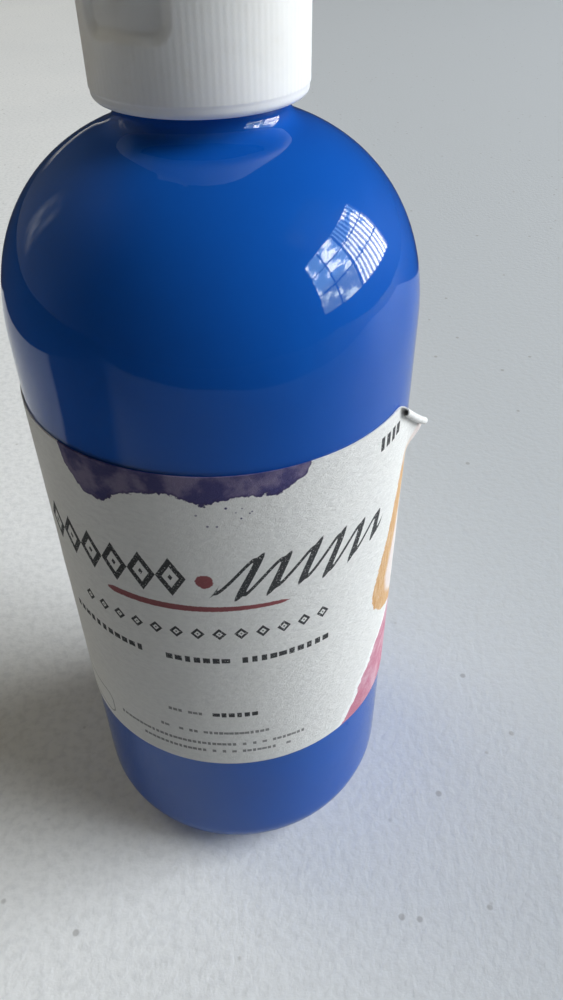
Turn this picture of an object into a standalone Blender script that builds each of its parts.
"""A 473 ml squeeze bottle of poster paint with a ribbed screw-on flip-top cap.

Metres, +Z up. The origin is the centre of the base, where the standing ring meets the table.
The label's front faces -Y. Plan angles are counted from -Y towards +X.
"""

import math

import bmesh
import bpy
from mathutils import Matrix, Vector

# Driving dimensions
BOTTLE_RADIUS = 0.0340
BOTTLE_WALL = 0.0006
HEEL_RADIUS = 0.0120
CYLINDER_TOP = 0.1247
SHOULDER_HEIGHT = 0.0317
SHOULDER_POWER = 2.3  # 2 would be an ellipse, and more is squarer
NECK_RADIUS = 0.0126
NECK_BORE = 0.0108
NECK_TOP = 0.1714
CAP_BOTTOM = 0.1580
CAP_RADIUS = 0.0156
CAP_TOP = 0.1744
LID_TOP = 0.1815
LABEL_BOTTOM = 0.0399
LABEL_TOP = 0.1152

# Neck finish and cap thread: 28 mm, six turns to the inch
THREAD_PITCH = 0.0254 / 6
NECK_THREAD_TURNS = 1.5
CAP_THREAD_TURNS = 1.25
NECK_THREAD_TOP = 0.1694
CAP_THREAD_DROP = 0.00155  # the cap's thread lies under the neck's
THREAD_FADE = 0.12  # of a turn, over which a thread grows from nothing
THREAD_STEPS = 32  # per turn
THREAD_SINK = 0.0003  # how far a thread's root lies inside its wall
# Each thread's section: where its crest is, how wide it is at the root, and at the crest
NECK_THREAD_SECTION = (0.01365, 0.0022, 0.0009)
CAP_THREAD_SECTION = (0.0130, 0.0018, 0.0008)

# Plan angles in degrees
THUMB_ANGLE = -38.0
THUMB_SPAN = 51.0
HINGE_ANGLE = THUMB_ANGLE + 180.0
LABEL_SEAM_ANGLE = 84.0

# Small sizes
GAP = 0.0003  # between pieces that touch
PAPER = 0.0002
STAND_RING_INNER = 0.0190
PUSH_UP_RADIUS = 0.0160
PUSH_UP = 0.0030
PUSH_UP_SIDE = 0.6  # share of the push-up's rise that lies outside PUSH_UP_RADIUS
BASE_THICKNESS = 0.0010
LIP_ROUND = 0.0003
FILLET_TOP = 0.0031  # above the shoulder's neck end
FILLET_CORNER = 0.0012
INNER_FILLET_TOP = 0.0022
LABEL_OPENING = 1.0  # degrees between the label's ends
WASHER_THICKNESS = 0.0010
WASHER_INNER = 0.0048
WASHER_OUTER = 0.0134
SKIRT_INNER = 0.0140
SKIRT_SMOOTH_BAND = 0.0015
SKIRT_EDGE = 0.0005
FOOT_STEP = 0.0003
RIB_COUNT = 108
RIB_DEPTH = 0.0002
RIB_MARGIN = 0.0003  # between the ribs' ends and the cap's edges
RIB_ROOT_DEPTH = 0.00005  # between the ribs' feet and the wall they stand on
DECK_UNDERSIDE = 0.1730
ORIFICE_RADIUS = 0.003175  # a quarter-inch hole
SPOUT_TOP = 0.1765
SPOUT_TIP_RADIUS = 0.0042
SPOUT_FOOT_RADIUS = 0.0047
THUMB_BOTTOM = 0.1667
THUMB_DEPTH = 0.00085
THUMB_CORNER = 0.0020
LID_WALL = 0.0012
LID_ROOF = 0.0013
LID_EDGE_ROUND = 0.0012
LIP_SIZE = (0.0018, 0.0100, 0.0016)  # the lip under which a thumb lifts the lid
LIP_HEIGHT = 0.0011  # of its middle, above the lid's rim
PLUG_RADIUS = 0.00285
PLUG_DEPTH = 0.0010  # below the cap's top
PLUG_TAPER = 0.0004
HINGE_FLAT = 0.0149  # from the bottle's axis to the flat behind the hinge straps
HINGE_POCKET = (0.0104, 0.0060)  # width and height of that flat
POCKET_DEPTH = 0.0040
POCKET_OVERLAP = 0.0010  # past the parting line
STRAP_THICKNESS = 0.0004
STRAP_HEIGHT = 0.0044
FILM_WIDTH = 0.0024
FILM_OFFSET = 0.0036
SPRING_WIDTH = 0.0030

ROUND_STEPS = 48
MERGE = 0.00001

SHOULDER_START = 0.27  # the shoulder's share at which it meets the neck
SHOULDER_STEPS = 9
PAINT_TOP_STEP = 2  # the paint's surface is level with this point of the shoulder's side
PARTING = CAP_TOP + GAP / 2  # height of the split between cap and lid
HINGE_AXIS_RADIUS = HINGE_FLAT + GAP + STRAP_THICKNESS / 2


def plan_direction(degrees):
    """The horizontal unit vector at a plan angle."""
    angle = math.radians(degrees)
    return Vector((math.sin(angle), -math.cos(angle), 0.0))


def facing(degrees):
    """A rotation that turns +X to a plan angle."""
    return Matrix.Rotation(math.radians(degrees - 90.0), 4, "Z")


def clear_scene():
    for old in list(bpy.data.objects):
        bpy.data.objects.remove(old, do_unlink=True)


def new_collection(name):
    group = bpy.data.collections.new(name)
    bpy.context.scene.collection.children.link(group)
    return group


def plastic(name, colour, roughness, alpha=1.0):
    """A Principled material with one colour."""
    mat = bpy.data.materials.new(name)
    mat.use_nodes = True
    shader = mat.node_tree.nodes["Principled BSDF"]
    shader.inputs["Base Color"].default_value = (*colour, 1.0)
    shader.inputs["Roughness"].default_value = roughness
    shader.inputs["Metallic"].default_value = 0.0
    shader.inputs["Alpha"].default_value = alpha
    return mat


def add_object(name, mesh, group, mat=None):
    piece = bpy.data.objects.new(name, mesh)
    group.objects.link(piece)
    if mat is not None:
        mesh.materials.append(mat)
    return piece


def turned(name, profile, group, mat=None, closed=False, angle=360.0):
    """A turned shape. The profile's (radius, height) points run down its outer side."""
    mesh = bpy.data.meshes.new(name)
    points = [(radius, 0.0, height) for radius, height in profile]
    edges = [(i, i + 1) for i in range(len(points) - 1)]
    if closed:
        edges.append((len(points) - 1, 0))
    mesh.from_pydata(points, edges, [])
    piece = add_object(name, mesh, group, mat)
    screw = piece.modifiers.new("turn", "SCREW")
    screw.axis = "Z"
    screw.angle = math.radians(angle)
    screw.steps = ROUND_STEPS
    screw.render_steps = ROUND_STEPS
    screw.use_smooth_shade = True
    screw.use_merge_vertices = angle == 360.0
    screw.merge_threshold = MERGE
    return piece


def make_cutter(piece):
    piece.hide_render = True
    piece.display_type = "WIRE"
    return piece


def combine(piece, tool, operation):
    boolean = piece.modifiers.new(tool.name, "BOOLEAN")
    boolean.operation = operation
    boolean.solver = "EXACT"
    boolean.object = tool


def shoulder_point(angle_share, inset=0.0):
    """A point on the domed shoulder: share 0 is the top centre and 1 is the cylinder's edge."""
    radius = BOTTLE_RADIUS - inset
    height = SHOULDER_HEIGHT - inset
    angle = angle_share * math.pi / 2
    power = 2.0 / SHOULDER_POWER
    return radius * math.sin(angle) ** power, CYLINDER_TOP + height * math.cos(angle) ** power


def arc(centre, radius, start, end, count):
    """Points of an arc in (radius, height), with angles in degrees from outward, up."""
    points = []
    for i in range(count + 1):
        angle = math.radians(start + (end - start) * i / count)
        points.append((centre[0] + radius * math.cos(angle), centre[1] + radius * math.sin(angle)))
    return points


def blend_curve(start, corner, end, count):
    """Points along the curve that leaves start towards corner and reaches end from it."""
    points = []
    for i in range(count + 1):
        t = i / count
        a, b, c = (1 - t) ** 2, 2 * t * (1 - t), t * t
        points.append(tuple(a * s + b * k + c * e for s, k, e in zip(start, corner, end)))
    return points


def shoulder_side(inset=0.0):
    """The shoulder from its neck end out and down to the cylinder."""
    points = []
    for i in range(SHOULDER_STEPS + 1):
        share = SHOULDER_START + (1.0 - SHOULDER_START) * i / SHOULDER_STEPS
        points.append(shoulder_point(share, inset))
    return points


def inner_heel(inset):
    """The inner round of the heel, upwards, moved in by inset."""
    return arc((BOTTLE_RADIUS - HEEL_RADIUS, HEEL_RADIUS), HEEL_RADIUS - inset, -75.0, 0.0, 5)


def bottle_outside():
    """The outer side, from the lip to the centre of the base."""
    side = shoulder_side()
    points = [(NECK_RADIUS - LIP_ROUND, NECK_TOP), (NECK_RADIUS, NECK_TOP - LIP_ROUND)]
    fillet_top = (NECK_RADIUS, side[0][1] + FILLET_TOP)
    fillet_corner = (NECK_RADIUS, side[0][1] + FILLET_CORNER)
    points += blend_curve(fillet_top, fillet_corner, side[0], 4)
    points += side[1:]
    points += arc((BOTTLE_RADIUS - HEEL_RADIUS, HEEL_RADIUS), HEEL_RADIUS, 0.0, -90.0, 6)
    points += [(STAND_RING_INNER, 0.0), (PUSH_UP_RADIUS, PUSH_UP * PUSH_UP_SIDE), (0.0, PUSH_UP)]
    return points


def inner_base(floor):
    """The inner side of the pushed-up base, from its centre at height floor outwards."""
    return [(0.0, floor), (PUSH_UP_RADIUS, floor - PUSH_UP * (1.0 - PUSH_UP_SIDE))]


def bottle_inside():
    """The inner side, from the centre of the base up to the mouth."""
    points = inner_base(PUSH_UP + BASE_THICKNESS)
    points += inner_heel(BOTTLE_WALL)
    side = shoulder_side(BOTTLE_WALL)
    points += list(reversed(side[1:]))
    points += [(NECK_BORE, side[0][1] + INNER_FILLET_TOP), (NECK_BORE, NECK_TOP)]
    return points


def helix_ridge(name, root, section, top, turns, group):
    """A ridge of trapezoid section that winds down from top, right-handed, fading at both ends."""
    crest, root_width, crest_width = section
    rings = round(turns * THREAD_STEPS)
    least = 0.08  # the share of its height that a faded ridge keeps
    bm = bmesh.new()
    loops = []
    for i in range(rings + 1):
        turn = turns * i / rings
        fade = min(1.0, turn / THREAD_FADE, (turns - turn) / THREAD_FADE)
        tip = root + (crest - root) * max(fade, least)
        sink = root - math.copysign(THREAD_SINK, crest - root)
        angle = -2 * math.pi * turn
        height = top - THREAD_PITCH * turn
        corners = [
            (sink, height + root_width / 2),
            (tip, height + crest_width / 2),
            (tip, height - crest_width / 2),
            (sink, height - root_width / 2),
        ]
        loops.append([bm.verts.new((r * math.cos(angle), r * math.sin(angle), z)) for r, z in corners])
    for lower, upper in zip(loops, loops[1:]):
        for k in range(4):
            bm.faces.new((lower[k], lower[(k + 1) % 4], upper[(k + 1) % 4], upper[k]))
    bm.faces.new(loops[0])
    bm.faces.new(loops[-1])
    bmesh.ops.recalc_face_normals(bm, faces=bm.faces)
    mesh = bpy.data.meshes.new(name)
    bm.to_mesh(mesh)
    bm.free()
    return make_cutter(add_object(name, mesh, group))


def extruded(name, outline, low, high, group):
    """A flat outline of (x, y) points, raised from low to high."""
    bm = bmesh.new()
    bottom = bm.faces.new([bm.verts.new((x, y, low)) for x, y in outline])
    raised = bmesh.ops.extrude_face_region(bm, geom=[bottom])
    top = [v for v in raised["geom"] if isinstance(v, bmesh.types.BMVert)]
    bmesh.ops.translate(bm, verts=top, vec=(0.0, 0.0, high - low))
    bmesh.ops.recalc_face_normals(bm, faces=bm.faces)
    mesh = bpy.data.meshes.new(name)
    bm.to_mesh(mesh)
    bm.free()
    return add_object(name, mesh, group)


def box(name, size, centre, turn, group):
    """A box of the given size, at centre in a frame that turn rotates."""
    bm = bmesh.new()
    bmesh.ops.create_cube(bm, size=1.0)
    bmesh.ops.scale(bm, vec=size, verts=bm.verts)
    mesh = bpy.data.meshes.new(name)
    bm.to_mesh(mesh)
    bm.free()
    piece = add_object(name, mesh, group)
    piece.matrix_world = turn @ Matrix.Translation(centre)
    return piece


def bevel(piece, width, segments):
    rounding = piece.modifiers.new("rounding", "BEVEL")
    rounding.width = width
    rounding.segments = segments
    return rounding


def make_bottle(parts, cutters):
    """The blown bottle, with its neck thread."""
    clear = plastic("clear_pet", (0.82, 0.88, 0.95), 0.05, alpha=0.35)
    bottle = turned("bottle", bottle_inside() + bottle_outside(), parts, clear)
    thread = helix_ridge(
        "neck_thread",
        NECK_RADIUS,
        NECK_THREAD_SECTION,
        NECK_THREAD_TOP,
        NECK_THREAD_TURNS,
        cutters,
    )
    combine(bottle, thread, "UNION")
    return bottle


def make_paint(parts):
    """The paint that fills the bottle, with a flat top in the shoulder."""
    blue = plastic("blue_paint", (0.015, 0.095, 0.56), 0.35)
    inset = BOTTLE_WALL + GAP
    side = shoulder_side(inset)[PAINT_TOP_STEP:]
    profile = [(0.0, side[0][1])] + side
    profile += reversed(inner_heel(inset))
    profile += reversed(inner_base(PUSH_UP + BASE_THICKNESS + GAP))
    return turned("paint_fill", profile, parts, blue)


def make_label(parts):
    """The paper label: one sheet wrapped round the body, its ends almost meeting."""
    paper = plastic("label_paper", (0.80, 0.79, 0.77), 0.75)
    inner = BOTTLE_RADIUS + PAPER
    profile = [(inner, LABEL_TOP), (inner, LABEL_BOTTOM)]
    label = turned("wrap_label", profile, parts, paper, angle=360.0 - LABEL_OPENING)
    label.rotation_euler.z = math.radians(LABEL_SEAM_ANGLE - 90.0 + LABEL_OPENING / 2)
    thickness = label.modifiers.new("paper", "SOLIDIFY")
    thickness.thickness = PAPER
    thickness.offset = 1.0
    return label


def make_washer(parts):
    """The foam washer in the cap, which seals on the bottle's lip."""
    foam = plastic("washer_foam", (0.86, 0.86, 0.84), 0.9)
    low = NECK_TOP + GAP
    high = low + WASHER_THICKNESS
    profile = [(WASHER_INNER, high), (WASHER_OUTER, high), (WASHER_OUTER, low), (WASHER_INNER, low)]
    return turned("seal_washer", profile, parts, foam, closed=True)


def thumb_cutter(cutters):
    """The rounded slot for a thumbnail, cut to an even depth into the cap's round wall."""
    half_width = CAP_RADIUS * math.sin(math.radians(THUMB_SPAN / 2))
    size = (0.0060, 2 * half_width, 0.0160)
    centre = (0.0160, 0.0, THUMB_BOTTOM + size[2] / 2)
    slab = box("thumb_window", size, centre, facing(THUMB_ANGLE), cutters)
    rounding = bevel(slab, THUMB_CORNER, 4)
    rounding.limit_method = "NONE"
    make_cutter(slab)
    inner, outer = CAP_RADIUS - THUMB_DEPTH, 0.0175
    low, high = 0.1600, 0.1780
    profile = [(outer, high), (outer, low), (inner, low), (inner, high)]
    ring = make_cutter(turned("thumb_recess", profile, cutters, closed=True))
    combine(ring, slab, "INTERSECT")
    return ring


def make_cap(parts, cutters):
    """The screwed half of the cap: ribbed skirt, inner thread, deck and spout."""
    white = plastic("white_polypropylene", (0.84, 0.85, 0.86), 0.4)
    blank_radius = CAP_RADIUS - RIB_DEPTH - RIB_ROOT_DEPTH
    foot_radius = CAP_RADIUS - FOOT_STEP
    profile = [
        (ORIFICE_RADIUS, DECK_UNDERSIDE),
        (ORIFICE_RADIUS, SPOUT_TOP),
        (SPOUT_TIP_RADIUS, SPOUT_TOP),
        (SPOUT_FOOT_RADIUS, CAP_TOP),
        (blank_radius, CAP_TOP),
        (blank_radius, CAP_BOTTOM + SKIRT_SMOOTH_BAND),
        (foot_radius, CAP_BOTTOM + SKIRT_SMOOTH_BAND),
        (foot_radius, CAP_BOTTOM + SKIRT_EDGE),
        (foot_radius - SKIRT_EDGE, CAP_BOTTOM),
        (SKIRT_INNER + 0.0003, CAP_BOTTOM),
        (SKIRT_INNER, CAP_BOTTOM + 0.0004),
        (SKIRT_INNER, DECK_UNDERSIDE),
    ]
    cap = turned("cap_base", profile, parts, white, closed=True)
    combine(cap, rib_ring(cutters), "UNION")
    thread = helix_ridge(
        "cap_thread",
        SKIRT_INNER,
        CAP_THREAD_SECTION,
        NECK_THREAD_TOP - CAP_THREAD_DROP,
        CAP_THREAD_TURNS,
        cutters,
    )
    combine(cap, thread, "UNION")
    combine(cap, thumb_cutter(cutters), "DIFFERENCE")
    combine(cap, hinge_pocket("cap_hinge_pocket", -1.0, cutters), "DIFFERENCE")
    return cap


def rib_ring(cutters):
    """The fine upright ribs of the skirt, as one toothed ring."""
    outline = []
    for i in range(2 * RIB_COUNT):
        radius = CAP_RADIUS - (RIB_DEPTH if i % 2 else 0.0)
        angle = math.pi * i / RIB_COUNT
        outline.append((radius * math.cos(angle), radius * math.sin(angle)))
    low = CAP_BOTTOM + SKIRT_SMOOTH_BAND + 0.0002
    high = CAP_TOP - RIB_MARGIN
    ring = extruded("cap_ribs", outline, low, high, cutters)
    core_radius = (SKIRT_INNER + CAP_RADIUS - RIB_DEPTH) / 2
    middle = (low + high) / 2
    core_top, core_bottom = middle + 0.0120, middle - 0.0120
    core = [(0.0, core_top), (core_radius, core_top), (core_radius, core_bottom), (0.0, core_bottom)]
    combine(ring, make_cutter(turned("cap_ribs_core", core, cutters)), "DIFFERENCE")
    return make_cutter(ring)


def hinge_pocket(name, side, cutters):
    """The flat that the hinge straps lie on. Side -1 is the cap's part of it, and 1 the lid's."""
    reach = HINGE_POCKET[1] / 2
    height = reach + POCKET_OVERLAP
    centre = (HINGE_FLAT + POCKET_DEPTH / 2, 0.0, PARTING + side * (reach - height / 2))
    size = (POCKET_DEPTH, HINGE_POCKET[0], height)
    return make_cutter(box(name, size, centre, facing(HINGE_ANGLE), cutters))


def make_lid(parts, cutters):
    """The flip-up half of the cap, with the plug that closes the spout and a lip to lift it by."""
    white = plastic("white_lid", (0.85, 0.86, 0.87), 0.38)
    low = CAP_TOP + GAP
    roof = LID_TOP - LID_ROOF
    inner = CAP_RADIUS - LID_WALL
    plug_end = CAP_TOP - PLUG_DEPTH
    edge_centre = (CAP_RADIUS - LID_EDGE_ROUND, LID_TOP - LID_EDGE_ROUND)
    profile = [(0.0, LID_TOP)] + arc(edge_centre, LID_EDGE_ROUND, 90.0, 0.0, 3)
    profile += [(CAP_RADIUS, low), (inner, low), (inner, roof), (PLUG_RADIUS, roof)]
    profile += [(PLUG_RADIUS, CAP_TOP), (PLUG_RADIUS - PLUG_TAPER, plug_end), (0.0, plug_end)]
    lid = turned("flip_lid", profile, parts, white)
    lip_centre = (CAP_RADIUS - 0.0002, 0.0, low + LIP_HEIGHT)
    lip = box("thumb_lip", LIP_SIZE, lip_centre, facing(THUMB_ANGLE), cutters)
    bevel(lip, 0.0004, 2)
    combine(lid, make_cutter(lip), "UNION")
    combine(lid, hinge_pocket("lid_hinge_pocket", 1.0, cutters), "DIFFERENCE")
    return lid


def make_hinge_straps(parts):
    """The thin straps that join cap and lid: two films that bend, and a spring strap between them."""
    white = plastic("white_hinge", (0.84, 0.85, 0.86), 0.42)
    places = {
        "hinge_film_left": (-FILM_OFFSET, FILM_WIDTH),
        "hinge_film_right": (FILM_OFFSET, FILM_WIDTH),
        "hinge_spring_strap": (0.0, SPRING_WIDTH),
    }
    straps = []
    for name, (offset, width) in places.items():
        size = (STRAP_THICKNESS, width, STRAP_HEIGHT)
        centre = (HINGE_AXIS_RADIUS, offset, PARTING)
        strap = box(name, size, centre, facing(HINGE_ANGLE), parts)
        strap.data.materials.append(white)
        bevel(strap, 0.0001, 1)
        straps.append(strap)
    return straps


def add_axis(name, place, children, group):
    """An empty on a joint's axis that carries the pieces which move about it."""
    axis = bpy.data.objects.new(name, None)
    axis.empty_display_size = 0.01
    axis.location = place
    group.objects.link(axis)
    for child in children:
        world = child.matrix_world.copy() if child.parent is None else child.matrix_basis.copy()
        child.parent = axis
        child.matrix_parent_inverse = Matrix.Translation(-Vector(place))
        child.matrix_basis = world
    return axis


def main():
    clear_scene()
    parts = new_collection("paint_squeeze_bottle")
    cutters = new_collection("cutters")
    make_bottle(parts, cutters)
    make_paint(parts)
    make_label(parts)
    washer = make_washer(parts)
    cap = make_cap(parts, cutters)
    lid = make_lid(parts, cutters)
    straps = make_hinge_straps(parts)
    hinge_place = plan_direction(HINGE_ANGLE) * HINGE_AXIS_RADIUS + Vector((0.0, 0.0, PARTING))
    bpy.context.view_layer.update()
    add_axis("lid_flip_axis", hinge_place, [lid], parts)
    add_axis("cap_turn_axis", Vector((0.0, 0.0, CAP_BOTTOM)), [washer, cap, *straps], parts)


main()
